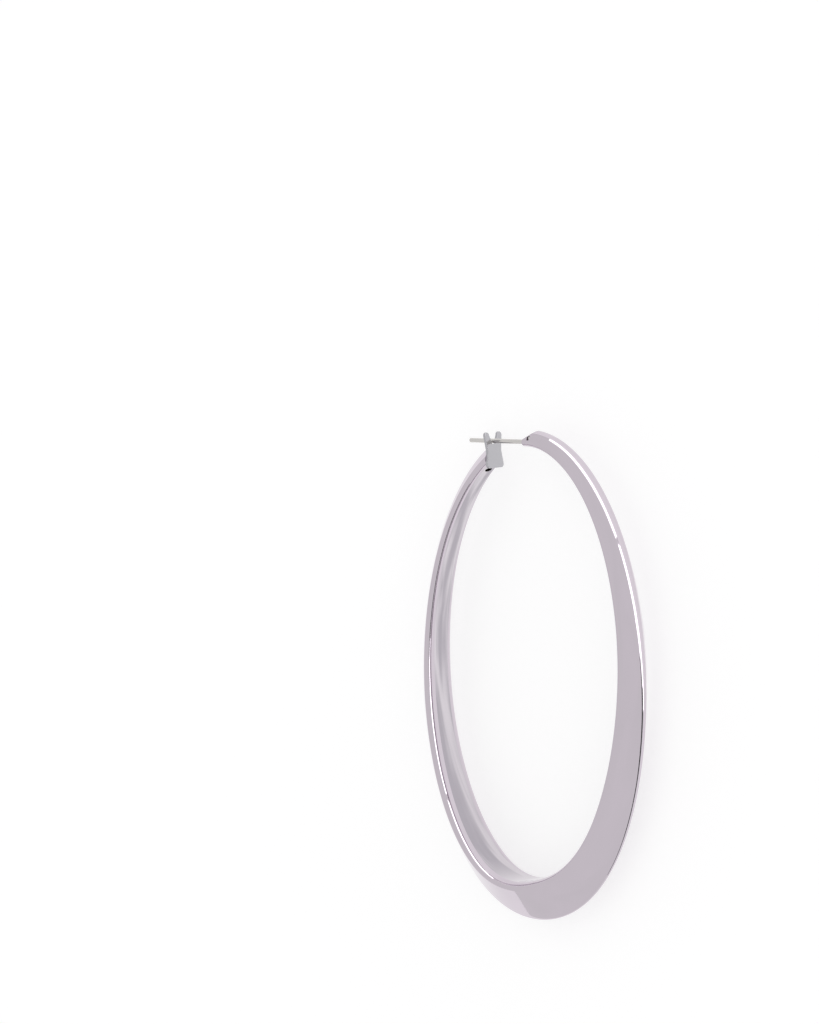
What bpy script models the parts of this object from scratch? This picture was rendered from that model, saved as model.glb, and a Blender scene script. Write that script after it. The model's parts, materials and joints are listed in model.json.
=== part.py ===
"""Oval hoop earring lying on its side: a hollow tapered hoop with a notched catch, and a hinged ear post.

The hoop lies in the XY plane with the clasp at +Y and the front leg at +X. Z is across the hoop.
Angles round the hoop are measured at its middle, from its lowest point at -Y towards the front leg.
"""

import math

import bmesh
import bpy
from mathutils import Vector

# Hoop outline, in metres
HALF_WIDTH = 0.0226
HALF_HEIGHT = 0.0400
EGG_DROP = 0.0010
LOWER_FULLNESS_RATIO = 0.014

# Hoop section, at its largest
SECTION_DEPTH = 0.0068
SECTION_WIDTH = 0.0089
RIM_WIDTH = 0.0025
RIM_BULGE = 0.16
INNER_CORNER = 0.0008
WALL = 0.00045
CAVITY_EDGE = 0.0003

# Hoop ends: where the terminal and the rear leg are cut off, and how much of each stays solid
TERMINAL_END_X = -0.0001
TERMINAL_CHAMFER = 0.0015
TERMINAL_SLOPE_DEGREES = 36
TERMINAL_SOLID = 0.0044
REAR_END_X = -0.0075
REAR_SOLID = 0.0015
TRIM_MARGIN = 0.0005

# Catch on the rear leg
CATCH_THICKNESS = 0.0005
CATCH_DROP = 0.0044
CATCH_FOOT_WIDTH = 0.0039
CATCH_WAIST_WIDTH = 0.0035
CATCH_FOOT_HEIGHT = 0.0029
CATCH_CORNER = 0.0006
EAR_RADIUS = 0.00055
EAR_SPREAD = 0.0032
EAR_RISE = 0.0009

# Ear post and its hinge
POST_RADIUS = 0.00038
POST_DROP = 0.0020
POST_TIP_X = -0.0125
POST_BELOW_PIN = 0.0007
EYE_RADIUS = 0.0006
EYE_THICKNESS = 0.0007
PIN_X = 0.0010
PIN_RADIUS = 0.00025
PIN_RECESS = 0.00005
RUNNING_GAP = 0.00008
SLOT_GAP = 0.0001
NOTCH_GAP = 0.0002
GROOVE_REACH = 0.0015

# Vent hole in the inner wall of the rear leg
VENT_WIDTH = 0.0016
VENT_LENGTH = 0.0009
VENT_FROM_END = 0.0031

# How finely round shapes are divided
OUTER_STATIONS = 112
CAVITY_STATIONS = 56
RIM_STEPS = 4
CORNER_STEPS = 4
EAR_STEPS = 7
ROUND_SIDES = 20
TANGENT_STEP = 0.002

# Taper from the thickest place to either end: how far along, then shares of depth, width and rim width
TAPER_COLUMNS = ("along", "depth", "width", "rim")
TAPER_ROWS = (
    (0.00, 1.00, 1.00, 0.19),
    (0.26, 0.70, 0.97, 0.28),
    (0.52, 0.49, 0.77, 0.50),
    (0.76, 0.38, 0.60, 0.94),
    (1.00, 0.39, 0.48, 0.90),
)

# Heights and places that follow from the sizes above
MID_Z = SECTION_WIDTH / 2
POST_Y = HALF_HEIGHT - POST_DROP
PIN_Y = POST_Y + POST_BELOW_PIN

# Finishes: polished hoop, and the slightly duller wire of the post and pin
SILVER = (0.80, 0.78, 0.80)
SILVER_ROUGHNESS = 0.08
WIRE_SILVER = (0.78, 0.77, 0.75)
WIRE_ROUGHNESS = 0.15
SHARP_DEGREES = 30


def angle_at(x, front):
    """Angle of the outline's point at this x on the upper half, on the front or the rear side."""
    lean = math.asin(max(-1.0, min(1.0, x / HALF_WIDTH)))
    return math.pi - lean if front else -math.pi - lean


FRONT_ANGLE = angle_at(TERMINAL_END_X - TRIM_MARGIN, True)
REAR_ANGLE = angle_at(REAR_END_X + TRIM_MARGIN, False)
THICKEST_ANGLE = (FRONT_ANGLE + REAR_ANGLE) / 2
HALF_SWEEP = (FRONT_ANGLE - REAR_ANGLE) / 2


def outline_point(angle):
    """Outer edge of the hoop at this angle, in its own plane."""
    fullness = 1 + LOWER_FULLNESS_RATIO * math.sin(2 * angle) ** 2 * (1 + math.cos(angle)) / 2
    x = HALF_WIDTH * math.sin(angle)
    y = -HALF_HEIGHT * math.cos(angle) - EGG_DROP * math.sin(angle) ** 2
    return Vector((x * fullness, y * fullness, 0))


def inward_at(angle):
    """Unit vector from the outline towards the hoop's inside, square to the outline."""
    along = outline_point(angle + TANGENT_STEP) - outline_point(angle - TANGENT_STEP)
    return Vector((-along.y, along.x, 0)).normalized()


def taper_at(angle):
    """Depth, width and rim width of the section at this angle, on a smooth curve through the taper's rows."""
    along = min(1.0, abs(angle - THICKEST_ANGLE) / HALF_SWEEP)
    rows = [dict(zip(TAPER_COLUMNS, row)) for row in TAPER_ROWS]
    index = max(i for i in range(len(rows) - 1) if rows[i]["along"] <= along)
    start, end = rows[index], rows[index + 1]
    before = rows[index - 1] if index else {**rows[1], "along": -rows[1]["along"]}
    after = rows[min(index + 2, len(rows) - 1)]
    span = end["along"] - start["along"]
    t = (along - start["along"]) / span
    values = []
    for column, size in (("depth", SECTION_DEPTH), ("width", SECTION_WIDTH), ("rim", RIM_WIDTH)):
        slope_in = (end[column] - before[column]) / (end["along"] - before["along"]) * span
        slope_out = (after[column] - start[column]) / (after["along"] - start["along"]) * span
        share = (
            (2 * t**3 - 3 * t**2 + 1) * start[column]
            + (t**3 - 2 * t**2 + t) * slope_in
            + (3 * t**2 - 2 * t**3) * end[column]
            + (t**3 - t**2) * slope_out
        )
        values.append(share * size)
    return values


def arc(centre, radius, first, last, steps):
    """Points on an arc between two angles, in degrees."""
    points = []
    for i in range(steps + 1):
        turn = math.radians(first + (last - first) * i / steps)
        points.append(centre + Vector((math.cos(turn), math.sin(turn))) * radius)
    return points


def side_line(angle):
    """The section's sloping side: where it leaves the rim, its slope in degrees, and the inner corner's arc."""
    depth, width, rim = taper_at(angle)
    start = Vector((rim * RIM_BULGE, rim / 2))
    radius = min(INNER_CORNER, depth / 4, width / 4)
    centre = Vector((depth - radius, width / 2 - radius))
    reach = centre - start
    slope = math.atan2(reach.y, reach.x) + math.asin(radius / reach.length)
    return start, math.degrees(slope), centre, radius


def outer_section(angle):
    """Wedge section as (inward, across) pairs: a narrow round rim outside and a wide face inside."""
    start, slope, centre, radius = side_line(angle)
    rim = []
    for i in range(RIM_STEPS + 1):
        turn = math.pi * i / RIM_STEPS
        rim.append(Vector((start.x * (1 - math.sin(turn)), -start.y * math.cos(turn))))
    far = arc(centre, radius, 90 + slope, 0, CORNER_STEPS)
    near = [Vector((p.x, -p.y)) for p in reversed(far)]
    return rim + far + near


def half_width_at(angle, depth):
    """Half the section's width this deep under the rim, on its sloping side."""
    start, slope, _, _ = side_line(angle)
    return start.y + math.tan(math.radians(slope)) * (depth - start.x)


def cavity_section(angle):
    """Four-sided hollow inside the wedge, one wall in from each of its faces."""
    start, slope, _, _ = side_line(angle)
    slope = math.radians(slope)
    inset = WALL / math.cos(slope)
    narrow = max(WALL, start.x + (inset + CAVITY_EDGE / 2 - start.y) / math.tan(slope))
    depth, width, _ = taper_at(angle)
    wide = depth - WALL
    near_half = half_width_at(angle, narrow) - inset
    far_half = min(half_width_at(angle, wide) - inset, width / 2 - WALL)
    return [
        Vector((narrow, -near_half)),
        Vector((narrow, near_half)),
        Vector((wide, far_half)),
        Vector((wide, -far_half)),
    ]


def place_section(angle, section):
    """The section's points in space, on the plane square to the outline at this angle."""
    edge, inward = outline_point(angle), inward_at(angle)
    return [edge + inward * p.x + Vector((0, 0, MID_Z + p.y)) for p in section]


def clear_scene():
    """Removes what Blender starts with."""
    for obj in list(bpy.data.objects):
        bpy.data.objects.remove(obj, do_unlink=True)


def add_object(name, mesh, collection, location=(0, 0, 0)):
    """Object of this mesh in this collection."""
    obj = bpy.data.objects.new(name, mesh)
    obj.location = location
    collection.objects.link(obj)
    return obj


def loft(name, rings, collection):
    """Closed solid through rings of equally many points."""
    bm = bmesh.new()
    loops = [[bm.verts.new(point) for point in ring] for ring in rings]
    for loop, following in zip(loops, loops[1:]):
        for i in range(len(loop)):
            j = (i + 1) % len(loop)
            bm.faces.new((loop[i], loop[j], following[j], following[i]))
    bm.faces.new(loops[0])
    bm.faces.new(loops[-1])
    bmesh.ops.recalc_face_normals(bm, faces=bm.faces)
    mesh = bpy.data.meshes.new(name)
    bm.to_mesh(mesh)
    bm.free()
    return add_object(name, mesh, collection)


def hoop_loft(name, section, first, last, stations, collection):
    """Sweeps a section round the hoop from one angle to another."""
    angles = [first + (last - first) * i / stations for i in range(stations + 1)]
    return loft(name, [place_section(a, section(a)) for a in angles], collection)


def box(name, low, high, collection):
    """Box between two corners."""
    bm = bmesh.new()
    bmesh.ops.create_cube(bm, size=1)
    low, high = Vector(low), Vector(high)
    for vert in bm.verts:
        vert.co = (low + high) / 2 + vert.co * (high - low)
    mesh = bpy.data.meshes.new(name)
    bm.to_mesh(mesh)
    bm.free()
    return add_object(name, mesh, collection)


def cylinder(name, radius, height, location, collection):
    """Cylinder along Z with its middle at a place."""
    bm = bmesh.new()
    bmesh.ops.create_cone(
        bm, cap_ends=True, segments=ROUND_SIDES, radius1=radius, radius2=radius, depth=height
    )
    mesh = bpy.data.meshes.new(name)
    bm.to_mesh(mesh)
    bm.free()
    return add_object(name, mesh, collection, location)


def boolean(target, other, operation):
    """Cuts another object from this one, or joins it on."""
    modifier = target.modifiers.new(f"{operation.title()} {other.name}", "BOOLEAN")
    modifier.operation = operation
    modifier.solver = "EXACT"
    modifier.object = other
    other.hide_render = True
    other.display_type = "WIRE"


def catch_outline():
    """One half of the catch, seen along X, as (across, up) points from its foot to between the ears."""
    foot_y = POST_Y - CATCH_DROP
    foot, waist = CATCH_FOOT_WIDTH / 2, CATCH_WAIST_WIDTH / 2
    waist_y = foot_y + CATCH_FOOT_HEIGHT
    corner = Vector((foot - CATCH_CORNER, foot_y + CATCH_CORNER))
    points = arc(corner, CATCH_CORNER, -90, 0, CORNER_STEPS)
    points.append(Vector((waist, waist_y)))
    ear = Vector((EAR_SPREAD / 2, POST_Y + EAR_RISE))
    points += arc(ear, EAR_RADIUS, 0, 180, EAR_STEPS)
    points.append(Vector((POST_RADIUS + NOTCH_GAP, POST_Y)))
    points.append(Vector((0, POST_Y)))
    return points


def add_catch(collection):
    """Sheet-metal catch: a spreading foot with two round ears and a gap for the post between them."""
    half = catch_outline()
    mirrored = [Vector((-p.x, p.y)) for p in reversed(half[:-1])]
    rings = []
    for side in (-1, 1):
        x = REAR_END_X + side * CATCH_THICKNESS / 2
        rings.append([Vector((x, p.y, MID_Z + p.x)) for p in half + mirrored])
    return loft("catch", rings, collection)


def trim_ends(hoop, cutters):
    """Cuts the terminal square with a sloped top corner, and the rear leg flat against the catch."""
    top, low = HALF_HEIGHT + SECTION_DEPTH, HALF_HEIGHT - 2 * SECTION_DEPTH
    low_z, high_z = MID_Z - SECTION_WIDTH, MID_Z + SECTION_WIDTH
    middle = (TERMINAL_END_X + REAR_END_X) / 2
    front = box("terminal_trim", (middle, low, low_z), (TERMINAL_END_X, top, high_z), cutters)
    rear = box("rear_trim", (REAR_END_X, low, low_z), (middle, top, high_z), cutters)
    reach = 2 * TERMINAL_CHAMFER
    slope = box("terminal_slope", (0, 0, low_z), (reach, reach, high_z), cutters)
    slope.rotation_euler.z = math.radians(TERMINAL_SLOPE_DEGREES)
    slope.location = (TERMINAL_END_X, HALF_HEIGHT - TERMINAL_CHAMFER, 0)
    boolean(hoop, front, "DIFFERENCE")
    boolean(hoop, rear, "DIFFERENCE")
    boolean(hoop, slope, "DIFFERENCE")


def hollow_out(hoop, cutters):
    """Hollows the hoop and opens the hollow through the vent near the catch."""
    first = angle_at(REAR_END_X - CATCH_THICKNESS / 2 - REAR_SOLID, False)
    last = angle_at(TERMINAL_END_X + TERMINAL_SOLID, True)
    cavity = hoop_loft("cavity", cavity_section, first, last, CAVITY_STATIONS, cutters)
    boolean(hoop, cavity, "DIFFERENCE")
    angle = angle_at(REAR_END_X - VENT_FROM_END, False)
    depth = taper_at(angle)[0]
    inward = inward_at(angle)
    centre = outline_point(angle) + inward * depth + Vector((0, 0, MID_Z))
    through = 3 * WALL
    vent = cylinder("vent", VENT_WIDTH / 2, through, centre, cutters)
    vent.rotation_euler = inward.to_track_quat("Z", "Y").to_euler()
    vent.scale.x = VENT_LENGTH / VENT_WIDTH
    boolean(hoop, vent, "DIFFERENCE")


def cut_hinge(hoop, cutters):
    """Slots the terminal for the post's eye and bores it for the hinge pin."""
    half_slot = max(EYE_THICKNESS / 2, POST_RADIUS) + SLOT_GAP
    back = PIN_X + EYE_RADIUS + SLOT_GAP
    low_y = HALF_HEIGHT - 2 * SECTION_DEPTH
    slot = box(
        "hinge_slot",
        (TERMINAL_END_X - TRIM_MARGIN, low_y, MID_Z - half_slot),
        (back, HALF_HEIGHT + SECTION_DEPTH, MID_Z + half_slot),
        cutters,
    )
    boolean(hoop, slot, "DIFFERENCE")
    bore = cylinder(
        "hinge_bore", PIN_RADIUS + RUNNING_GAP, 2 * SECTION_WIDTH, (PIN_X, PIN_Y, MID_Z), cutters
    )
    boolean(hoop, bore, "DIFFERENCE")


def cut_groove(hoop, cutters):
    """Rounds the floor between the ears, and the rear leg behind it, to clear the closed post."""
    groove = cylinder(
        "post_groove",
        POST_RADIUS + NOTCH_GAP,
        2 * GROOVE_REACH,
        (REAR_END_X, POST_Y, MID_Z),
        cutters,
    )
    groove.rotation_euler.y = math.radians(90)
    boolean(hoop, groove, "DIFFERENCE")


def add_hoop(part, cutters):
    """Hollow tapered hoop with its clasp ends and the catch soldered to the rear leg."""
    hoop = hoop_loft("hoop", outer_section, REAR_ANGLE, FRONT_ANGLE, OUTER_STATIONS, part)
    trim_ends(hoop, cutters)
    hollow_out(hoop, cutters)
    cut_hinge(hoop, cutters)
    boolean(hoop, add_catch(cutters), "UNION")
    cut_groove(hoop, cutters)
    return hoop


def add_hinge_pin(part):
    """Rivet through the terminal, a hair below flush at both ends."""
    cheek = half_width_at(math.pi, HALF_HEIGHT - PIN_Y - PIN_RADIUS)
    length = 2 * (cheek - PIN_RECESS)
    return cylinder("hinge_pin", PIN_RADIUS, length, (PIN_X, PIN_Y, MID_Z), part)


def add_post_wire(cutters):
    """Straight wire with a rounded tip, turned about Z from its root at the origin."""
    length = PIN_X - POST_TIP_X
    profile = [Vector((0, 0, length))]
    for i in range(1, CORNER_STEPS + 2):
        turn = math.radians(90 * i / (CORNER_STEPS + 1))
        tip = length - POST_RADIUS
        profile.append(Vector((POST_RADIUS * math.sin(turn), 0, tip + POST_RADIUS * math.cos(turn))))
    profile.append(Vector((POST_RADIUS, 0, 0)))
    profile.append(Vector((0, 0, 0)))
    mesh = bpy.data.meshes.new("post_wire")
    mesh.from_pydata(profile, [(i, i + 1) for i in range(len(profile) - 1)], [])
    wire = add_object("post_wire", mesh, cutters)
    screw = wire.modifiers.new("Turn", "SCREW")
    screw.steps = screw.render_steps = ROUND_SIDES
    screw.use_merge_vertices = True
    screw.merge_threshold = 0.00001
    return wire


def add_ear_post(part, cutters):
    """Post wire with a flat eye at its root, turning on the hinge pin."""
    hinge = bpy.data.objects.new("post_hinge", None)
    hinge.location = (PIN_X, PIN_Y, MID_Z)
    part.objects.link(hinge)
    post = cylinder("ear_post", EYE_RADIUS, EYE_THICKNESS, (0, 0, 0), part)
    post.parent = hinge
    wire = add_post_wire(cutters)
    wire.rotation_euler = (0, math.radians(-90), 0)
    wire.location = (PIN_X, POST_Y, MID_Z)
    boolean(post, wire, "UNION")
    bore = cylinder(
        "eye_bore", PIN_RADIUS + RUNNING_GAP, SECTION_WIDTH, (PIN_X, PIN_Y, MID_Z), cutters
    )
    boolean(post, bore, "DIFFERENCE")
    return post


def finish(obj, colour, roughness):
    """Gives an object its own polished metal and smooth shading with sharp edges kept."""
    material = bpy.data.materials.new(f"{obj.name}_metal")
    material.use_nodes = True
    shader = material.node_tree.nodes["Principled BSDF"]
    shader.inputs["Base Color"].default_value = (*colour, 1)
    shader.inputs["Metallic"].default_value = 1
    shader.inputs["Roughness"].default_value = roughness
    material.diffuse_color = (*colour, 1)
    obj.data.materials.append(material)
    obj.data.shade_smooth()
    obj.data.set_sharp_from_angle(angle=math.radians(SHARP_DEGREES))


def main():
    clear_scene()
    part = bpy.data.collections.new("hoop_earring")
    cutters = bpy.data.collections.new("cutters")
    for collection in (part, cutters):
        bpy.context.scene.collection.children.link(collection)
    finish(add_hoop(part, cutters), SILVER, SILVER_ROUGHNESS)
    finish(add_hinge_pin(part), WIRE_SILVER, WIRE_ROUGHNESS)
    finish(add_ear_post(part, cutters), WIRE_SILVER, WIRE_ROUGHNESS)


main()
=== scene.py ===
"""Looks of the oval hoop earring: tapered hoop, sheet catch, hinged ear post, rivet, studio and camera.

The hoop lies on its side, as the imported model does: the clasp is at +Y, the front leg at +X.
Angles round the hoop are measured at its middle, from its lowest point at -Y towards the front leg.
Lengths are in metres.
"""

import json
import logging
import math
from collections.abc import Callable
from dataclasses import dataclass, field, replace
from enum import Enum

import bmesh
import bpy
from mathutils import Matrix, Vector

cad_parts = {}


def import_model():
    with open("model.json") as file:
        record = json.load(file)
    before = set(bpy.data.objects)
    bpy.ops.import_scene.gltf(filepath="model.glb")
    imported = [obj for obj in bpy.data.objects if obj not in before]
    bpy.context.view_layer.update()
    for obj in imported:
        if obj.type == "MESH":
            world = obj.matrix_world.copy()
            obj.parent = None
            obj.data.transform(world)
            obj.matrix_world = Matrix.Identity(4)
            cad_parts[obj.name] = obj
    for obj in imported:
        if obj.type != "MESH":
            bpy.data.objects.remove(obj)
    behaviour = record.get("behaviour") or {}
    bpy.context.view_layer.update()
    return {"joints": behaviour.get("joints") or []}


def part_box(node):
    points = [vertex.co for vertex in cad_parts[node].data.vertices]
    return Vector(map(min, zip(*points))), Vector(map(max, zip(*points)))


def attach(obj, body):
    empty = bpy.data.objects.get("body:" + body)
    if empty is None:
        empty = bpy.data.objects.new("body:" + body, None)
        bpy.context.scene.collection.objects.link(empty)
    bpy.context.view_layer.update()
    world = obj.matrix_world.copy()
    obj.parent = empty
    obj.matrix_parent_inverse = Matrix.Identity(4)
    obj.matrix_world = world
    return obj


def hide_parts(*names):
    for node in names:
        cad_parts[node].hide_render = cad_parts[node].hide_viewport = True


log = logging.getLogger("hoop_earring")

Colour = tuple[float, float, float]
Section = Callable[[float], list[Vector]]

PHOTO_WIDTH = 819
PHOTO_HEIGHT = 1024
SHARP_DEGREES = 32.0
ROUNDED_DEGREES = 60.0
STREAK_DETAIL = 2.5
STREAK_DISTORTION = 0.6
HAZE_PER_METRE = 900.0
HAZE_DETAIL = 3.0
WAVES_PER_METRE = 160.0
WAVE_DETAIL = 1.0


class Axis(Enum):
    """Row axis that a round piece lies along, as the turn that lays a primitive's own Z on it."""

    ACROSS = (0.0, 0.0, 0.0)
    ALONG_POST = (0.0, math.pi / 2, 0.0)


def toward(azimuth: float, elevation: float) -> Vector:
    """Gives a direction from the hoop.

    Args:
        azimuth: Degrees from the front leg's side, +X, towards the clasp.
        elevation: Degrees above the floor.

    Returns:
        The unit vector.
    """
    turn, rise = math.radians(azimuth), math.radians(elevation)
    return Vector((math.cos(turn) * math.cos(rise), math.sin(turn) * math.cos(rise), math.sin(rise)))


def select_only(obj: bpy.types.Object) -> None:
    """Selects one object alone and makes it the active one.

    Args:
        obj: The object that the next operators act on.
    """
    if bpy.context.object and bpy.context.object.mode != "OBJECT":
        bpy.ops.object.mode_set(mode="OBJECT")
    bpy.ops.object.select_all(action="DESELECT")
    obj.select_set(True)
    bpy.context.view_layer.objects.active = obj


def start_piece(name: str) -> bpy.types.Object:
    """Names the primitive that was just added, with its place moved into its mesh.

    Args:
        name: Name of the piece.

    Returns:
        The named object, at the origin and unturned.
    """
    obj = bpy.context.object
    obj.name = obj.data.name = name
    select_only(obj)
    bpy.ops.object.transform_apply(location=True, rotation=True, scale=True)
    return obj


def add_box(name: str, low: Vector, high: Vector) -> bpy.types.Object:
    """Adds a cube primitive between two corners.

    Args:
        name: Name of the piece.
        low: Lowest corner.
        high: Highest corner.

    Returns:
        The box.
    """
    bpy.ops.mesh.primitive_cube_add(size=1, location=(low + high) / 2, scale=high - low)
    return start_piece(name)


def add_rod(
    name: str, radius: float, length: float, middle: Vector, axis: Axis, sides: int = 48
) -> bpy.types.Object:
    """Adds a cylinder primitive with its middle at a place.

    Args:
        name: Name of the piece.
        radius: Radius of the rod.
        length: Length of the rod.
        middle: Place of its middle.
        axis: Row axis that it lies along.
        sides: Sides round it.

    Returns:
        The rod.
    """
    bpy.ops.mesh.primitive_cylinder_add(
        vertices=sides, radius=radius, depth=length, location=middle, rotation=axis.value
    )
    return start_piece(name)


def combine(target: bpy.types.Object, tool: bpy.types.Object, operation: str) -> None:
    """Joins a tool piece to a target or cuts it away, and removes the tool.

    A tool with no finish of its own takes the target's first one.

    Args:
        target: Piece that is changed.
        tool: Piece that is joined or cut away.
        operation: Boolean operation, UNION or DIFFERENCE.
    """
    if not tool.data.materials:
        tool.data.materials.append(target.data.materials[0])
    select_only(target)
    modifier = target.modifiers.new(tool.name, "BOOLEAN")
    modifier.operation = operation
    modifier.solver = "EXACT"
    modifier.material_mode = "TRANSFER"
    modifier.object = tool
    bpy.ops.object.modifier_apply(modifier=modifier.name)
    bpy.data.objects.remove(tool, do_unlink=True)


def ease_edges(obj: bpy.types.Object, width: float, degrees: float, segments: int = 3) -> None:
    """Rounds every edge that is sharper than an angle.

    Args:
        obj: Piece that is changed.
        width: Width of the rounding.
        degrees: Edges that turn by more than this are rounded.
        segments: Facets across the rounding.
    """
    select_only(obj)
    modifier = obj.modifiers.new("Eased edges", "BEVEL")
    modifier.width = width
    modifier.segments = segments
    modifier.limit_method = "ANGLE"
    modifier.angle_limit = math.radians(degrees)
    modifier.harden_normals = False
    bpy.ops.object.modifier_apply(modifier=modifier.name)


def smooth(obj: bpy.types.Object) -> None:
    """Shades a piece smooth, with its sharp edges kept."""
    select_only(obj)
    bpy.ops.object.shade_smooth_by_angle(angle=math.radians(SHARP_DEGREES))


@dataclass(frozen=True)
class MetalFinish:
    """Polished plated metal with faint streaks that follow the surface.

    Attributes:
        name: Name of the material.
        light: Colour of the brighter streaks.
        dark: Colour of the darker streaks; in the inner face's material they are painted reflections.
        roughness: Least and most roughness.
        stretch: How often the streaks repeat along and round the piece, on its UV map.
        wave: Height of the slow waves that polishing leaves, in metres.
        contrast: Noise values where the streaks turn fully dark and fully light.
        calm: Distances from the middle of the UV map, along the piece, where the light colour ends and
            where the streaks are at their full strength.
    """

    name: str
    light: Colour
    dark: Colour
    roughness: tuple[float, float]
    stretch: tuple[float, float, float]
    wave: float
    contrast: tuple[float, float] = (0.0, 1.0)
    calm: tuple[float, float] = (-2.0, -1.0)

    def material(self) -> bpy.types.Material:
        """Builds the node material.

        Returns:
            The material, which reads the piece's UV map and Object coordinates.
        """
        material = bpy.data.materials.new(self.name)
        material.use_nodes = True
        nodes, links = material.node_tree.nodes, material.node_tree.links
        shader = nodes["Principled BSDF"]
        shader.inputs["Metallic"].default_value = 1.0
        place = nodes.new("ShaderNodeTexCoord")
        mapping = nodes.new("ShaderNodeMapping")
        mapping.inputs["Scale"].default_value = self.stretch
        links.new(place.outputs["UV"], mapping.inputs["Vector"])

        # Streaks of tone from stretched noise; in the inner face's material the darker ones are painted
        # reflections, kept off the middle of the hoop by the calm distances.
        streaks = nodes.new("ShaderNodeTexNoise")
        streaks.inputs["Scale"].default_value = 1.0
        streaks.inputs["Detail"].default_value = STREAK_DETAIL
        streaks.inputs["Distortion"].default_value = STREAK_DISTORTION
        links.new(mapping.outputs["Vector"], streaks.inputs["Vector"])

        tint = nodes.new("ShaderNodeMix")
        tint.data_type = "RGBA"
        tint.inputs["A"].default_value = (*self.dark, 1)
        tint.inputs["B"].default_value = (*self.light, 1)
        sharpen = nodes.new("ShaderNodeMapRange")
        sharpen.interpolation_type = "SMOOTHSTEP"
        sharpen.inputs["From Min"].default_value = self.contrast[0]
        sharpen.inputs["From Max"].default_value = self.contrast[1]
        links.new(streaks.outputs["Fac"], sharpen.inputs["Value"])
        split = nodes.new("ShaderNodeSeparateXYZ")
        links.new(place.outputs["UV"], split.inputs["Vector"])
        from_middle = nodes.new("ShaderNodeMath")
        from_middle.operation = "SUBTRACT"
        from_middle.inputs[1].default_value = 0.5
        links.new(split.outputs["X"], from_middle.inputs[0])
        distance = nodes.new("ShaderNodeMath")
        distance.operation = "ABSOLUTE"
        links.new(from_middle.outputs["Value"], distance.inputs[0])
        quiet = nodes.new("ShaderNodeMapRange")
        quiet.inputs["From Min"].default_value = self.calm[0]
        quiet.inputs["From Max"].default_value = self.calm[1]
        quiet.inputs["To Min"].default_value = 1.0
        quiet.inputs["To Max"].default_value = 0.0
        links.new(distance.outputs["Value"], quiet.inputs["Value"])
        lighter = nodes.new("ShaderNodeMath")
        lighter.operation = "MAXIMUM"
        links.new(sharpen.outputs["Result"], lighter.inputs[0])
        links.new(quiet.outputs["Result"], lighter.inputs[1])
        links.new(lighter.outputs["Value"], tint.inputs["Factor"])
        links.new(tint.outputs["Result"], shader.inputs["Base Color"])

        haze = nodes.new("ShaderNodeTexNoise")
        haze.inputs["Scale"].default_value = HAZE_PER_METRE
        haze.inputs["Detail"].default_value = HAZE_DETAIL
        links.new(place.outputs["Object"], haze.inputs["Vector"])
        polish = nodes.new("ShaderNodeMapRange")
        polish.inputs["To Min"].default_value = self.roughness[0]
        polish.inputs["To Max"].default_value = self.roughness[1]
        links.new(haze.outputs["Fac"], polish.inputs["Value"])
        links.new(polish.outputs["Result"], shader.inputs["Roughness"])

        waves = nodes.new("ShaderNodeTexNoise")
        waves.inputs["Scale"].default_value = WAVES_PER_METRE
        waves.inputs["Detail"].default_value = WAVE_DETAIL
        links.new(place.outputs["Object"], waves.inputs["Vector"])
        bump = nodes.new("ShaderNodeBump")
        bump.inputs["Strength"].default_value = 1.0
        bump.inputs["Distance"].default_value = self.wave
        links.new(waves.outputs["Fac"], bump.inputs["Height"])
        links.new(bump.outputs["Normal"], shader.inputs["Normal"])
        return material


POLISHED = MetalFinish(
    name="polished_silver",
    light=(0.675, 0.61, 0.675),
    dark=(0.635, 0.58, 0.635),
    roughness=(0.03, 0.06),
    stretch=(16.0, 6.0, 1.0),
    wave=0.00003,
)
# Lighter copy of the polished silver for the inner face, with darker streaks that are painted reflections;
# the streaks stay off the middle of the hoop and are strongest along the legs.
POLISHED_INSIDE_PAINTED_REFLECTIONS = MetalFinish(
    name="polished_silver_inside_painted_reflections",
    light=(0.70, 0.66, 0.70),
    dark=(0.46, 0.43, 0.475),
    roughness=(0.04, 0.08),
    stretch=(8.0, 7.0, 1.0),
    wave=0.00016,
    contrast=(0.38, 0.62),
    calm=(0.07, 0.13),
)
CATCH_PLATE = MetalFinish(
    name="catch_silver",
    light=(0.54, 0.535, 0.56),
    dark=(0.48, 0.475, 0.50),
    roughness=(0.10, 0.18),
    stretch=(30.0, 4.0, 1.0),
    wave=0.00002,
)
WIRE = MetalFinish(
    name="wire_silver",
    light=(0.76, 0.74, 0.72),
    dark=(0.62, 0.60, 0.585),
    roughness=(0.12, 0.22),
    stretch=(30.0, 4.0, 1.0),
    wave=0.00002,
)
# Near-black, rough material for the walls of the hollow and the vent cut through to it.
NEAR_BLACK_INSIDE = MetalFinish(
    name="near_black_inside",
    light=(0.10, 0.085, 0.07),
    dark=(0.05, 0.04, 0.035),
    roughness=(0.55, 0.75),
    stretch=(40.0, 6.0, 1.0),
    wave=0.00005,
)


@dataclass(frozen=True)
class Taper:
    """Sizes of the section at one place, as shares of its largest ones or worked out in metres.

    Attributes:
        along: How far along, from 0 at the thickest place to 1 at either end.
        depth: Depth of the section.
        width: Its width.
        rim: Width of the rim.
        shoulder: How far the soft edge beside the rim reaches down the side.
        ease: How far the soft edge beside the inner corner reaches along the inner face.
    """

    along: float
    depth: float
    width: float
    rim: float
    shoulder: float
    ease: float


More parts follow.
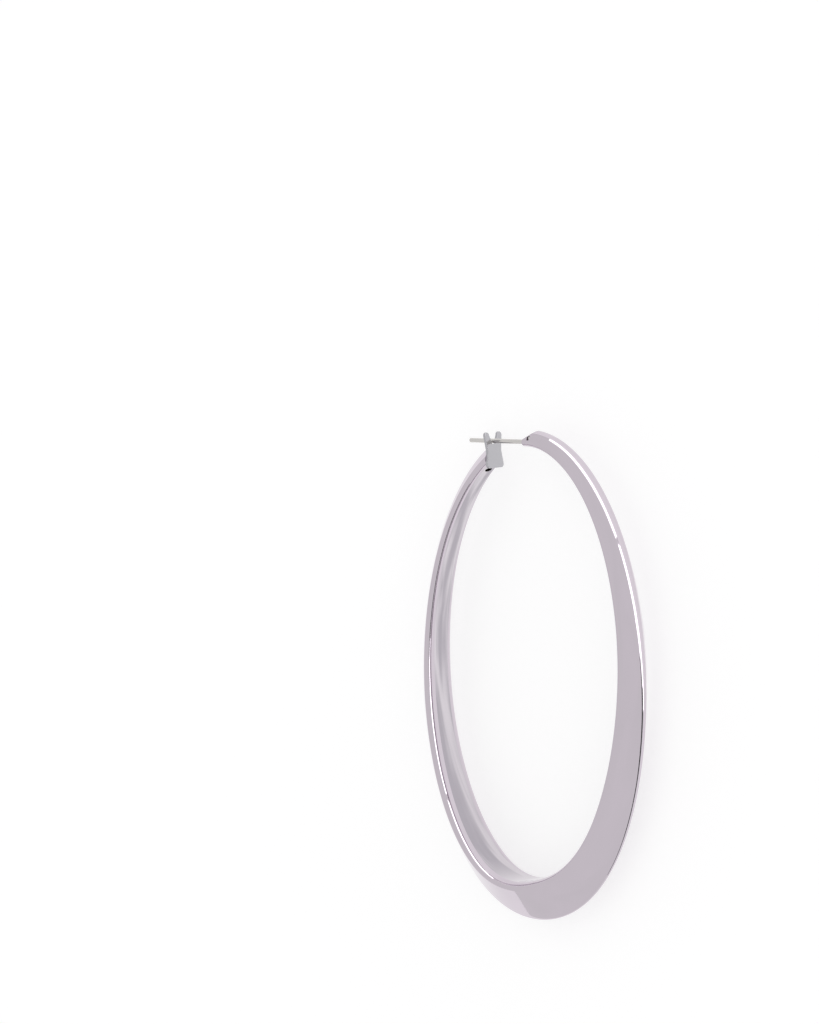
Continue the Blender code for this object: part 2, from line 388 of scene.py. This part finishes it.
@dataclass
class HoopBody:
    """Hollow tapered hoop with a slotted terminal and an open vent near the catch."""

    half_width: float = 0.0226
    half_height: float = 0.0400
    egg_drop: float = 0.0010
    lower_fullness: float = 0.014
    section_depth: float = 0.0068
    section_width: float = 0.0089
    rim_width: float = 0.0025
    rim_bulge: float = 0.16
    rim_flat: float = 0.55
    shoulder: float = 0.0014
    shoulder_limit: float = 0.85
    inner_corner: float = 0.0008
    ease: float = 0.0016
    ease_flat: float = 0.40
    wall: float = 0.00045
    cavity_edge: float = 0.0003
    terminal_end_x: float = -0.0001
    terminal_chamfer: float = 0.0015
    terminal_slope_degrees: float = 36.0
    terminal_solid: float = 0.0044
    rear_end_x: float = -0.0077
    rear_solid: float = 0.0016
    trim_margin: float = 0.0005
    vent_width: float = 0.0016
    vent_length: float = 0.0009
    vent_from_end: float = 0.0029
    slot_half: float = 0.00048
    slot_behind_pin: float = 0.0007
    bore_radius: float = 0.00033
    groove_radius: float = 0.00058
    groove_reach: float = 0.0015
    stations: int = 240
    cavity_stations: int = 60
    rim_steps: int = 28
    corner_steps: int = 4
    ease_steps: int = 12
    support_share: float = 0.03
    inner_points: int = 4
    tangent_step: float = 0.002
    tapers: tuple[Taper, ...] = (
        Taper(0.00, 1.00, 1.00, 0.19, 0.30, 1.00),
        Taper(0.26, 0.70, 0.97, 0.28, 0.80, 1.00),
        Taper(0.52, 0.49, 0.77, 0.50, 1.20, 1.00),
        Taper(0.76, 0.38, 0.60, 0.94, 1.00, 0.65),
        Taper(1.00, 0.39, 0.48, 0.90, 0.80, 0.55),
    )

    @property
    def mid_z(self) -> float:
        """Height of the hoop's own plane above the floor."""
        return self.section_width / 2

    @property
    def front_angle(self) -> float:
        """Angle where the loft ends past the terminal."""
        return self.angle_at(self.terminal_end_x - self.trim_margin, True)

    @property
    def rear_angle(self) -> float:
        """Angle where the loft ends past the catch."""
        return self.angle_at(self.rear_end_x + self.trim_margin, False)

    def angle_at(self, x: float, front: bool) -> float:
        """Finds the angle of the outline at a place on its upper half.

        Args:
            x: Place across the hoop.
            front: True on the front leg's side, False on the rear's.

        Returns:
            The angle, in radians.
        """
        lean = math.asin(x / self.half_width)
        return math.pi - lean if front else -math.pi - lean

    def outline(self, angle: float) -> Vector:
        """Gives the outer edge of the hoop, in its own plane.

        Args:
            angle: Angle round the hoop.

        Returns:
            The point, with Z at 0.
        """
        full = 1 + self.lower_fullness * math.sin(2 * angle) ** 2 * (1 + math.cos(angle)) / 2
        x = self.half_width * math.sin(angle)
        y = -self.half_height * math.cos(angle) - self.egg_drop * math.sin(angle) ** 2
        return Vector((x * full, y * full, 0))

    def inward(self, angle: float) -> Vector:
        """Gives the direction from the outline towards the hoop's inside.

        Args:
            angle: Angle round the hoop.

        Returns:
            The unit vector, square to the outline.
        """
        along = self.outline(angle + self.tangent_step) - self.outline(angle - self.tangent_step)
        return Vector((-along.y, along.x, 0)).normalized()

    def sizes(self, angle: float) -> Taper:
        """Gives the section's sizes on a smooth curve through the tapers.

        Args:
            angle: Angle round the hoop.

        Returns:
            The sizes there, in metres.
        """
        thickest = (self.front_angle + self.rear_angle) / 2
        half_sweep = (self.front_angle - self.rear_angle) / 2
        along = min(1.0, abs(angle - thickest) / half_sweep)
        rows = self.tapers
        index = max(i for i in range(len(rows) - 1) if rows[i].along <= along)
        start, end = rows[index], rows[index + 1]
        mirrored = replace(rows[1], along=-rows[1].along)
        before = rows[index - 1] if index else mirrored
        after = rows[min(index + 2, len(rows) - 1)]
        span = end.along - start.along
        t = (along - start.along) / span
        found = {}
        for column, size in (
            ("depth", self.section_depth),
            ("width", self.section_width),
            ("rim", self.rim_width),
            ("shoulder", self.shoulder),
            ("ease", self.ease),
        ):
            low, high = getattr(start, column), getattr(end, column)
            slope_in = (high - getattr(before, column)) / (end.along - before.along) * span
            slope_out = (getattr(after, column) - low) / (after.along - start.along) * span
            share = (
                (2 * t**3 - 3 * t**2 + 1) * low
                + (t**3 - 2 * t**2 + t) * slope_in
                + (3 * t**2 - 2 * t**3) * high
                + (t**3 - t**2) * slope_out
            )
            found[column] = share * size
        return Taper(along, **found)

    def side(self, angle: float) -> tuple[Vector, float, Vector, float]:
        """Works out the section's sloping side.

        Args:
            angle: Angle round the hoop.

        Returns:
            Where the side leaves the rim, its slope in radians, and the inner corner's centre and radius.
        """
        size = self.sizes(angle)
        start = Vector((size.rim * self.rim_bulge, size.rim / 2))
        radius = min(self.inner_corner, size.depth / 4, size.width / 4)
        centre = Vector((size.depth - radius, size.width / 2 - radius))
        reach = centre - start
        slope = math.atan2(reach.y, reach.x) + math.asin(radius / reach.length)
        return start, slope, centre, radius

    def skin(self, angle: float) -> list[Vector]:
        """Gives the outer section: a narrow round rim, two sloping sides and a wide inner face.

        Args:
            angle: Angle round the hoop.

        Returns:
            Pairs of (inward, across) round the section, with support points near both ends of each flat.
        """
        start, slope, centre, radius = self.side(angle)
        size = self.sizes(angle)
        length = math.sqrt((centre - start).length_squared - radius**2)
        reach = min(size.shoulder, self.shoulder_limit * length)
        low_side = start + Vector((math.cos(slope), math.sin(slope))) * reach
        crown = Vector((0, start.y * self.rim_flat))
        half_rim = self.curve(Vector((0, 0)), crown, start, low_side, self.rim_steps // 2)
        rim = [Vector((p.x, -p.y)) for p in reversed(half_rim[1:])] + half_rim
        start = low_side
        corner = []
        for i in range(self.corner_steps):
            turn = math.pi / 2 + slope * (1 - i / self.corner_steps)
            corner.append(centre + Vector((math.cos(turn), math.sin(turn))) * radius)
        widest = centre + Vector((0, radius))
        inner_end = Vector((centre.x + radius, widest.y - size.ease))
        lead = widest + Vector((radius * self.ease_flat, 0))
        tail = inner_end + Vector((0, size.ease * self.ease_flat))
        corner += self.curve(widest, lead, tail, inner_end, self.ease_steps)
        share = self.support_share
        flat = [start.lerp(corner[0], share), start.lerp(corner[0], 1 - share)]
        inner = Vector((inner_end.x, inner_end.y * (1 - 2 * share)))
        far = flat + corner + [inner]
        near = [Vector((p.x, -p.y)) for p in reversed(far)]
        return rim + far + near

    def curve(self, start: Vector, lead: Vector, tail: Vector, end: Vector, steps: int) -> list[Vector]:
        """Gives points on a cubic curve.

        Args:
            start: Its first point.
            lead: Point that it leaves towards.
            tail: Point that it arrives from.
            end: Its last point.
            steps: Steps between both ends.

        Returns:
            The points.
        """
        points = []
        for i in range(steps + 1):
            t = i / steps
            near = start.lerp(lead, t).lerp(lead.lerp(tail, t), t)
            far = lead.lerp(tail, t).lerp(tail.lerp(end, t), t)
            points.append(near.lerp(far, t))
        return points

    def hollow(self, angle: float) -> list[Vector]:
        """Gives the four-sided hollow, one wall in from each face.

        Args:
            angle: Angle round the hoop.

        Returns:
            Pairs of (inward, across) round the hollow.
        """
        start, slope, _, _ = self.side(angle)
        inset = self.wall / math.cos(slope)
        rise = math.tan(slope)
        size = self.sizes(angle)
        narrow = max(self.wall, start.x + (inset + self.cavity_edge / 2 - start.y) / rise)
        wide = size.depth - self.wall
        near_half = start.y + rise * (narrow - start.x) - inset
        far_half = min(start.y + rise * (wide - start.x) - inset, size.width / 2 - self.wall)
        return [
            Vector((narrow, -near_half)),
            Vector((narrow, near_half)),
            Vector((wide, far_half)),
            Vector((wide, -far_half)),
        ]

    def sweep(
        self, name: str, section: Section, first: float, last: float, stations: int
    ) -> bpy.types.Object:
        """Extrudes a ring station by station round the hoop and closes both ends.

        Args:
            name: Name of the piece.
            section: Gives the section at an angle.
            first: Angle of the first station.
            last: Angle of the last station.
            stations: Steps between them.

        Returns:
            The closed tube, with a UV map that runs along it and round it.
        """
        count = len(section(first))
        bpy.ops.mesh.primitive_circle_add(vertices=count, radius=self.section_depth / 2)
        obj = start_piece(name)
        bpy.ops.object.mode_set(mode="EDIT")
        bpy.ops.mesh.select_all(action="SELECT")
        bm = bmesh.from_edit_mesh(obj.data)
        place = bm.verts.layers.int.new("place")
        step = bm.verts.layers.int.new("step")
        for i, vert in enumerate(bm.verts):
            vert[place] = i
        bmesh.update_edit_mesh(obj.data)
        rings = []
        for station in range(stations + 1):
            if station:
                bpy.ops.mesh.extrude_region()
            angle = first + (last - first) * station / stations
            edge, inward, points = self.outline(angle), self.inward(angle), section(angle)
            bm = bmesh.from_edit_mesh(obj.data)
            place = bm.verts.layers.int["place"]
            step = bm.verts.layers.int["step"]
            for vert in bm.verts:
                if vert.select:
                    point = points[vert[place]]
                    vert.co = edge + inward * point.x + Vector((0, 0, self.mid_z + point.y))
                    vert[step] = station
            bmesh.update_edit_mesh(obj.data)
            rings.append(points)
        self.map_surface(obj, rings)
        self.close_ends(obj)
        bpy.ops.mesh.select_all(action="SELECT")
        bpy.ops.mesh.normals_make_consistent(inside=False)
        bpy.ops.object.mode_set(mode="OBJECT")
        return obj

    def map_surface(self, obj: bpy.types.Object, rings: list[list[Vector]]) -> None:
        """Writes a UV map that runs along the tube and, by true length, round each of its rings.

        Args:
            obj: The tube, in edit mode.
            rings: The section at each station.
        """
        count, stations = len(rings[0]), len(rings) - 1
        shares = [self.shares_round(points) for points in rings]
        bm = bmesh.from_edit_mesh(obj.data)
        place = bm.verts.layers.int["place"]
        step = bm.verts.layers.int["step"]
        layer = bm.loops.layers.uv.verify()
        for face in bm.faces:
            places = [loop.vert[place] for loop in face.loops]
            wraps = max(places) - min(places) > 1
            for loop in face.loops:
                around = loop.vert[place]
                if wraps and around == 0:
                    around = count
                station = loop.vert[step]
                loop[layer].uv = (station / stations, shares[station][around])
        bmesh.update_edit_mesh(obj.data)

    def shares_round(self, points: list[Vector]) -> list[float]:
        """Gives how far round its ring each point lies.

        Args:
            points: The ring's points.

        Returns:
            Shares from 0 to 1, with one more than the points, for the seam.
        """
        lengths = [(points[(i + 1) % len(points)] - p).length for i, p in enumerate(points)]
        return [sum(lengths[:i]) / sum(lengths) for i in range(len(points) + 1)]

    def mark_inner_face(self, hoop: bpy.types.Object) -> None:
        """Gives the wide face inside the hoop its own material, with painted reflection streaks, in the
        second slot.

        Args:
            hoop: The swept hoop, whose faces still hold their places on the ring.
        """
        first = self.rim_steps + self.corner_steps + self.ease_steps + 3
        inner = range(first, first + self.inner_points)
        bpy.ops.object.mode_set(mode="EDIT")
        bm = bmesh.from_edit_mesh(hoop.data)
        place = bm.verts.layers.int["place"]
        for face in bm.faces:
            if len(face.verts) == 4 and all(vert[place] in inner for vert in face.verts):
                face.material_index = 1
        bmesh.update_edit_mesh(hoop.data)
        bpy.ops.object.mode_set(mode="OBJECT")

    def close_ends(self, obj: bpy.types.Object) -> None:
        """Fills the open ring at each end of the tube.

        Args:
            obj: The tube, in edit mode.
        """
        bm = bmesh.from_edit_mesh(obj.data)
        step = bm.verts.layers.int["step"]
        last = max(vert[step] for vert in bm.verts)
        for end in (0, last):
            bpy.ops.mesh.select_all(action="DESELECT")
            bm = bmesh.from_edit_mesh(obj.data)
            step = bm.verts.layers.int["step"]
            for edge in bm.edges:
                if edge.is_boundary and all(vert[step] == end for vert in edge.verts):
                    edge.select = True
            bm.select_flush_mode()
            bmesh.update_edit_mesh(obj.data)
            bpy.ops.mesh.edge_face_add()

    def trim(self, hoop: bpy.types.Object) -> None:
        """Cuts the terminal square with a sloped top corner, and the rear leg flat against the catch.

        Args:
            hoop: The swept hoop.
        """
        top = self.half_height + self.section_depth
        low = self.half_height - 2 * self.section_depth
        low_z, high_z = self.mid_z - self.section_width, self.mid_z + self.section_width
        low_corner = Vector((self.rear_end_x, low, low_z))
        gap = add_box("clasp_gap", low_corner, Vector((self.terminal_end_x, top, high_z)))
        combine(hoop, gap, "DIFFERENCE")
        reach = 2 * self.terminal_chamfer
        slope = add_box("terminal_slope", Vector((0, 0, low_z)), Vector((reach, reach, high_z)))
        slope.rotation_euler.z = math.radians(self.terminal_slope_degrees)
        slope.location = (self.terminal_end_x, self.half_height - self.terminal_chamfer, 0)
        combine(hoop, slope, "DIFFERENCE")

    def open_hollow(self, hoop: bpy.types.Object, near_black: bpy.types.Material) -> None:
        """Hollows the hoop and opens the hollow through the vent near the catch.

        Args:
            hoop: The trimmed hoop.
            near_black: Near-black, rough material for the walls of the hollow and the vent.
        """
        first = self.angle_at(self.rear_end_x - self.rear_solid, False)
        last = self.angle_at(self.terminal_end_x + self.terminal_solid, True)
        cavity = self.sweep("cavity", self.hollow, first, last, self.cavity_stations)
        cavity.data.materials.append(near_black)
        combine(hoop, cavity, "DIFFERENCE")
        angle = self.angle_at(self.rear_end_x - self.vent_from_end, False)
        inward = self.inward(angle)
        centre = self.outline(angle) + inward * self.sizes(angle).depth + Vector((0, 0, self.mid_z))
        bpy.ops.mesh.primitive_cylinder_add(
            vertices=40,
            radius=self.vent_width / 2,
            depth=3 * self.wall,
            location=centre,
            rotation=inward.to_track_quat("Z", "Y").to_euler(),
            scale=(self.vent_length / self.vent_width, 1, 1),
        )
        vent = start_piece("vent")
        vent.data.materials.append(near_black)
        combine(hoop, vent, "DIFFERENCE")

    def cut_hinge(self, hoop: bpy.types.Object, pin: Vector, post: Vector) -> None:
        """Slots the terminal for the post, bores it for the rivet and clears the post at the catch.

        Args:
            hoop: The hollow hoop.
            pin: Middle of the hinge pin.
            post: Root of the post, on its own axis.
        """
        front, back = self.terminal_end_x - self.trim_margin, pin.x + self.slot_behind_pin
        low = Vector((front, self.half_height - 2 * self.section_depth, 0))
        high = Vector((back, self.half_height + self.section_depth, 0))
        across = Vector((0, 0, self.slot_half))
        middle = Vector((0, 0, self.mid_z))
        combine(hoop, add_box("hinge_slot", low + middle - across, high + middle + across), "DIFFERENCE")
        bore = add_rod("hinge_bore", self.bore_radius, 2 * self.section_width, pin, Axis.ACROSS)
        combine(hoop, bore, "DIFFERENCE")
        over_catch = Vector((self.rear_end_x, post.y, post.z))
        groove = add_rod(
            "post_groove", self.groove_radius, 2 * self.groove_reach, over_catch, Axis.ALONG_POST
        )
        combine(hoop, groove, "DIFFERENCE")

    def build(self, pin: Vector, post: Vector) -> bpy.types.Object:
        """Makes the hoop's one mesh and dresses it.

        Args:
            pin: Middle of the hinge pin.
            post: Root of the post, on its own axis.

        Returns:
            The hoop.
        """
        hoop = self.sweep("hoop_body", self.skin, self.rear_angle, self.front_angle, self.stations)
        hoop.data.materials.append(POLISHED.material())
        # Second slot: the inner face's material, with painted reflection streaks.
        hoop.data.materials.append(POLISHED_INSIDE_PAINTED_REFLECTIONS.material())
        self.mark_inner_face(hoop)
        self.trim(hoop)
        self.open_hollow(hoop, NEAR_BLACK_INSIDE.material())
        self.cut_hinge(hoop, pin, post)
        smooth(hoop)
        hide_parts("hoop")
        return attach(hoop, "frame")


@dataclass
class Catch:
    """Sheet catch soldered on the rear leg, leaning back: a spreading foot, two round ears and a notch."""

    plane_x: float = -0.0075
    thickness: float = 0.0005
    drop: float = 0.0044
    foot_width: float = 0.0042
    waist_width: float = 0.0035
    foot_forward: float = 0.0001
    lean: float = 0.085
    foot_height: float = 0.0029
    corner_radius: float = 0.0006
    ear_radius: float = 0.00055
    ear_spread: float = 0.0032
    ear_rise: float = 0.0009
    notch_radius: float = 0.00058
    edge_rounding: float = 0.00011
    corner_steps: int = 8
    ear_steps: int = 18
    notch_steps: int = 9

    def arc(self, centre: Vector, radius: float, first: float, last: float, steps: int) -> list[Vector]:
        """Gives points on an arc, as (across, up) from the post's axis.

        Args:
            centre: Centre of the arc.
            radius: Its radius.
            first: Angle of its first point, in degrees.
            last: Angle of its last point, in degrees.
            steps: Steps between them.

        Returns:
            The points.
        """
        turns = [math.radians(first + (last - first) * i / steps) for i in range(steps + 1)]
        return [centre + Vector((math.cos(turn), math.sin(turn))) * radius for turn in turns]

    def half_outline(self) -> list[Vector]:
        """Gives one half of the catch, from its foot's corner to the notch's floor.

        Returns:
            Pairs of (across, up) from the post's axis.
        """
        corner = Vector((self.foot_width / 2 - self.corner_radius, self.corner_radius - self.drop))
        points = self.arc(corner, self.corner_radius, -90, 0, self.corner_steps)
        points.append(Vector((self.waist_width / 2, self.foot_height - self.drop)))
        ear = Vector((self.ear_spread / 2, self.ear_rise))
        points += self.arc(ear, self.ear_radius, 0, 180, self.ear_steps)
        return points + self.arc(Vector((0, 0)), self.notch_radius, 0, -90, self.notch_steps)

    def build(self, post: Vector) -> bpy.types.Object:
        """Makes the sheet from its outline, rounds its edges and dresses it.

        Args:
            post: Root of the post, on its own axis.

        Returns:
            The catch.
        """
        half = self.half_outline()
        outline = half + [Vector((-p.x, p.y)) for p in reversed(half[:-1])]
        bpy.ops.mesh.primitive_circle_add(vertices=len(outline), radius=self.drop)
        catch = start_piece("catch")
        bpy.ops.object.mode_set(mode="EDIT")
        bm = bmesh.from_edit_mesh(catch.data)
        back_x = self.plane_x - self.thickness / 2
        for vert, point in zip(bm.verts, outline):
            back = self.lean * (point.y + self.drop) - self.foot_forward
            vert.co = Vector((back_x - back, post.y + point.y, post.z + point.x))
        bmesh.update_edit_mesh(catch.data)
        bpy.ops.mesh.select_all(action="SELECT")
        bpy.ops.mesh.edge_face_add()
        bpy.ops.mesh.extrude_region_move(TRANSFORM_OT_translate={"value": (self.thickness, 0, 0)})
        bpy.ops.mesh.select_all(action="SELECT")
        bpy.ops.mesh.normals_make_consistent(inside=False)
        bpy.ops.object.mode_set(mode="OBJECT")
        ease_edges(catch, self.edge_rounding, ROUNDED_DEGREES)
        catch.data.materials.append(CATCH_PLATE.material())
        smooth(catch)
        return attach(catch, "frame")


@dataclass
class EarPost:
    """Straight wire with a rounded tip and a flat eye at its root, which turns on the rivet."""

    radius: float = 0.00038
    tip_x: float = -0.0125
    eye_radius: float = 0.0006
    eye_thickness: float = 0.0007
    bore_radius: float = 0.00033
    tip_rounding: float = 0.00022

    def build(self, pin: Vector, post: Vector) -> bpy.types.Object:
        """Makes the post and dresses it.

        Args:
            pin: Middle of the hinge pin.
            post: Root of the post, on its own axis.

        Returns:
            The ear post.
        """
        length = post.x - self.tip_x
        middle = Vector(((post.x + self.tip_x) / 2, post.y, post.z))
        wire = add_rod("post_wire", self.radius, length, middle, Axis.ALONG_POST)
        bpy.ops.object.mode_set(mode="EDIT")
        bpy.ops.mesh.select_all(action="DESELECT")
        bm = bmesh.from_edit_mesh(wire.data)
        for edge in bm.edges:
            edge.select = all(vert.co.x < self.tip_x + self.radius for vert in edge.verts)
        bm.select_flush_mode()
        bmesh.update_edit_mesh(wire.data)
        bpy.ops.mesh.bevel(offset=self.tip_rounding, segments=5, affect="EDGES")
        bpy.ops.object.mode_set(mode="OBJECT")
        wire.data.materials.append(WIRE.material())
        eye = add_rod("post_eye", self.eye_radius, self.eye_thickness, pin, Axis.ACROSS)
        combine(wire, eye, "UNION")
        bore = add_rod("eye_bore", self.bore_radius, 4 * self.eye_thickness, pin, Axis.ACROSS)
        combine(wire, bore, "DIFFERENCE")
        wire.name = wire.data.name = "post_and_eye"
        smooth(wire)
        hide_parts("ear_post")
        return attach(wire, "post")


@dataclass
class HingePin:
    """Rivet through the terminal, with a low domed head at each end."""

    radius: float = 0.00025
    dome: float = 0.00008

    def build(self) -> bpy.types.Object:
        """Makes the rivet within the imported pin's length and dresses it.

        Returns:
            The rivet.
        """
        low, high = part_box("hinge_pin")
        pin = add_rod("rivet", self.radius, high.z - low.z, (low + high) / 2, Axis.ACROSS)
        ease_edges(pin, self.dome, ROUNDED_DEGREES)
        pin.data.materials.append(WIRE.material())
        smooth(pin)
        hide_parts("hinge_pin")
        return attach(pin, "frame")


@dataclass(frozen=True)
class SoftBox:
    """A soft light, placed by the direction it stands in from the hoop.

    Attributes:
        name: Name of the light.
        heading: Its azimuth and elevation from the hoop, in degrees.
        distance: How far away it stands.
        size: Its width and length.
        radiance: How bright its face looks.
    """

    name: str
    heading: tuple[float, float]
    distance: float
    size: tuple[float, float]
    radiance: float

    def build(self, target: Vector) -> bpy.types.Object:
        """Adds the area light, facing the hoop.

        Args:
            target: Point that it faces.

        Returns:
            The light.
        """
        data = bpy.data.lights.new(self.name, "AREA")
        data.shape = "RECTANGLE"
        data.size, data.size_y = self.size
        data.energy = self.radiance * math.pi * self.size[0] * self.size[1]
        light = bpy.data.objects.new(self.name, data)
        bpy.context.scene.collection.objects.link(light)
        away = toward(*self.heading)
        light.location = target + away * self.distance
        light.rotation_euler = away.to_track_quat("Z", "Y").to_euler()
        return light


@dataclass(frozen=True)
class Card:
    """A plain dark card, which the polished metal shows as a thin line.

    Attributes:
        name: Name of the card.
        heading: Its azimuth and elevation from the hoop, in degrees.
        distance: How far away it stands.
        size: Its width and height.
        shade: How bright it looks.
    """

    name: str
    heading: tuple[float, float]
    distance: float
    size: tuple[float, float]
    shade: float

    def build(self, target: Vector) -> bpy.types.Object:
        """Stands the card up, facing the hoop.

        Args:
            target: Point that it faces.

        Returns:
            The card.
        """
        away = toward(*self.heading)
        bpy.ops.mesh.primitive_plane_add(
            size=1,
            location=target + away * self.distance,
            rotation=away.to_track_quat("Z", "Y").to_euler(),
        )
        bpy.context.object.scale = (*self.size, 1)
        card = start_piece(self.name)
        material = bpy.data.materials.new(self.name)
        material.use_nodes = True
        shader = material.node_tree.nodes["Principled BSDF"]
        shader.inputs["Base Color"].default_value = (self.shade, self.shade, self.shade, 1)
        shader.inputs["Roughness"].default_value = 1.0
        shader.inputs["Specular IOR Level"].default_value = 0.0
        card.data.materials.append(material)
        return card


@dataclass
class Studio:
    """Pale floor, even pale surroundings, soft lights and the camera at the photograph's angle."""

    floor_colour: Colour = (0.50, 0.498, 0.50)
    floor_glow: float = 0.60
    floor_size: float = 6.0
    surroundings: Colour = (0.80, 0.80, 0.80)
    turn_degrees: float = 38.5
    rise_degrees: float = 6.3
    roll_degrees: float = -1.0
    target: Vector = field(default_factory=lambda: Vector((0, -0.001, 0.00445)))
    target_px: tuple[float, float] = (534.4, 681.5)
    px_per_metre: float = 6151.0
    distance: float = 0.812
    sensor: float = 36.0
    boxes: tuple[SoftBox, ...] = (
        SoftBox("side_box", (9, 5.0), 1.6, (1.15, 0.26), 1.8),
        SoftBox("clasp_box", (66, 6.5), 1.6, (2.2, 0.34), 1.5),
    )
    cards: tuple[Card, ...] = (
        Card("low_card", (-32, 10), 1.5, (1.85, 0.17), 0.02),
    )

    def floor(self) -> bpy.types.Object:
        """Adds the pale floor that the hoop lies on.

        Returns:
            The floor.
        """
        bpy.ops.mesh.primitive_plane_add(size=self.floor_size, location=(0, 0, 0))
        floor = start_piece("floor")
        material = bpy.data.materials.new("pale_floor")
        material.use_nodes = True
        shader = material.node_tree.nodes["Principled BSDF"]
        shader.inputs["Base Color"].default_value = (*self.floor_colour, 1)
        shader.inputs["Roughness"].default_value = 0.9
        shader.inputs["Specular IOR Level"].default_value = 0.1
        shader.inputs["Emission Color"].default_value = (1, 1, 1, 1)
        shader.inputs["Emission Strength"].default_value = self.floor_glow
        floor.data.materials.append(material)
        return floor

    def light(self) -> None:
        """Sets the even surroundings and adds the soft lights and the dark cards."""
        world = bpy.data.worlds.new("surroundings")
        world.use_nodes = True
        background = world.node_tree.nodes["Background"]
        background.inputs["Color"].default_value = (*self.surroundings, 1)
        bpy.context.scene.world = world
        bpy.context.scene.view_settings.view_transform = "Standard"
        for thing in (*self.boxes, *self.cards):
            thing.build(self.target)

    def camera(self) -> bpy.types.Object:
        """Adds the camera at the photograph's angle to the hoop.

        Returns:
            The camera.
        """
        turn, rise = math.radians(self.turn_degrees), math.radians(self.rise_degrees)
        roll = math.radians(self.roll_degrees)
        away = Vector(
            (math.sin(turn) * math.cos(rise), math.sin(rise), math.cos(turn) * math.cos(rise))
        )
        level = Vector((math.cos(turn), 0, -math.sin(turn)))
        upright = away.cross(level)
        right = level * math.cos(roll) + upright * math.sin(roll)
        up = upright * math.cos(roll) - level * math.sin(roll)
        focal_px = self.px_per_metre * self.distance
        aside = (self.target_px[0] - PHOTO_WIDTH / 2) / focal_px
        below = (self.target_px[1] - PHOTO_HEIGHT / 2) / focal_px
        back = (away + right * aside - up * below).normalized()
        right = (right - back * right.dot(back)).normalized()
        up = back.cross(right)
        data = bpy.data.cameras.new("camera")
        data.sensor_width = self.sensor
        data.lens = focal_px / PHOTO_HEIGHT * self.sensor
        data.clip_start, data.clip_end = 0.01, 20.0
        camera = bpy.data.objects.new("camera", data)
        bpy.context.scene.collection.objects.link(camera)
        turned = Matrix((right, up, back)).transposed().to_4x4()
        camera.matrix_world = Matrix.Translation(self.target + away * self.distance) @ turned
        bpy.context.scene.camera = camera
        return camera


def main() -> None:
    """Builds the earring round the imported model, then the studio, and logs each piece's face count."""
    logging.basicConfig(level=logging.INFO, format="%(name)s: %(message)s")
    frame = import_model()
    hinge = next(joint for joint in frame["joints"] if joint["name"] == "post_hinge")
    pin = Vector(hinge["pos_m"])
    wire_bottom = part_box("ear_post")[0].y
    post_axis = Vector((pin.x, wire_bottom + EarPost.radius, pin.z))
    for piece in (
        HoopBody().build(pin, post_axis),
        Catch().build(post_axis),
        EarPost().build(pin, post_axis),
        HingePin().build(),
    ):
        log.info("%s has %d faces", piece.name, len(piece.data.polygons))
    studio = Studio()
    studio.camera()
    studio.light()
    studio.floor()


if __name__ == "__main__":
    main()
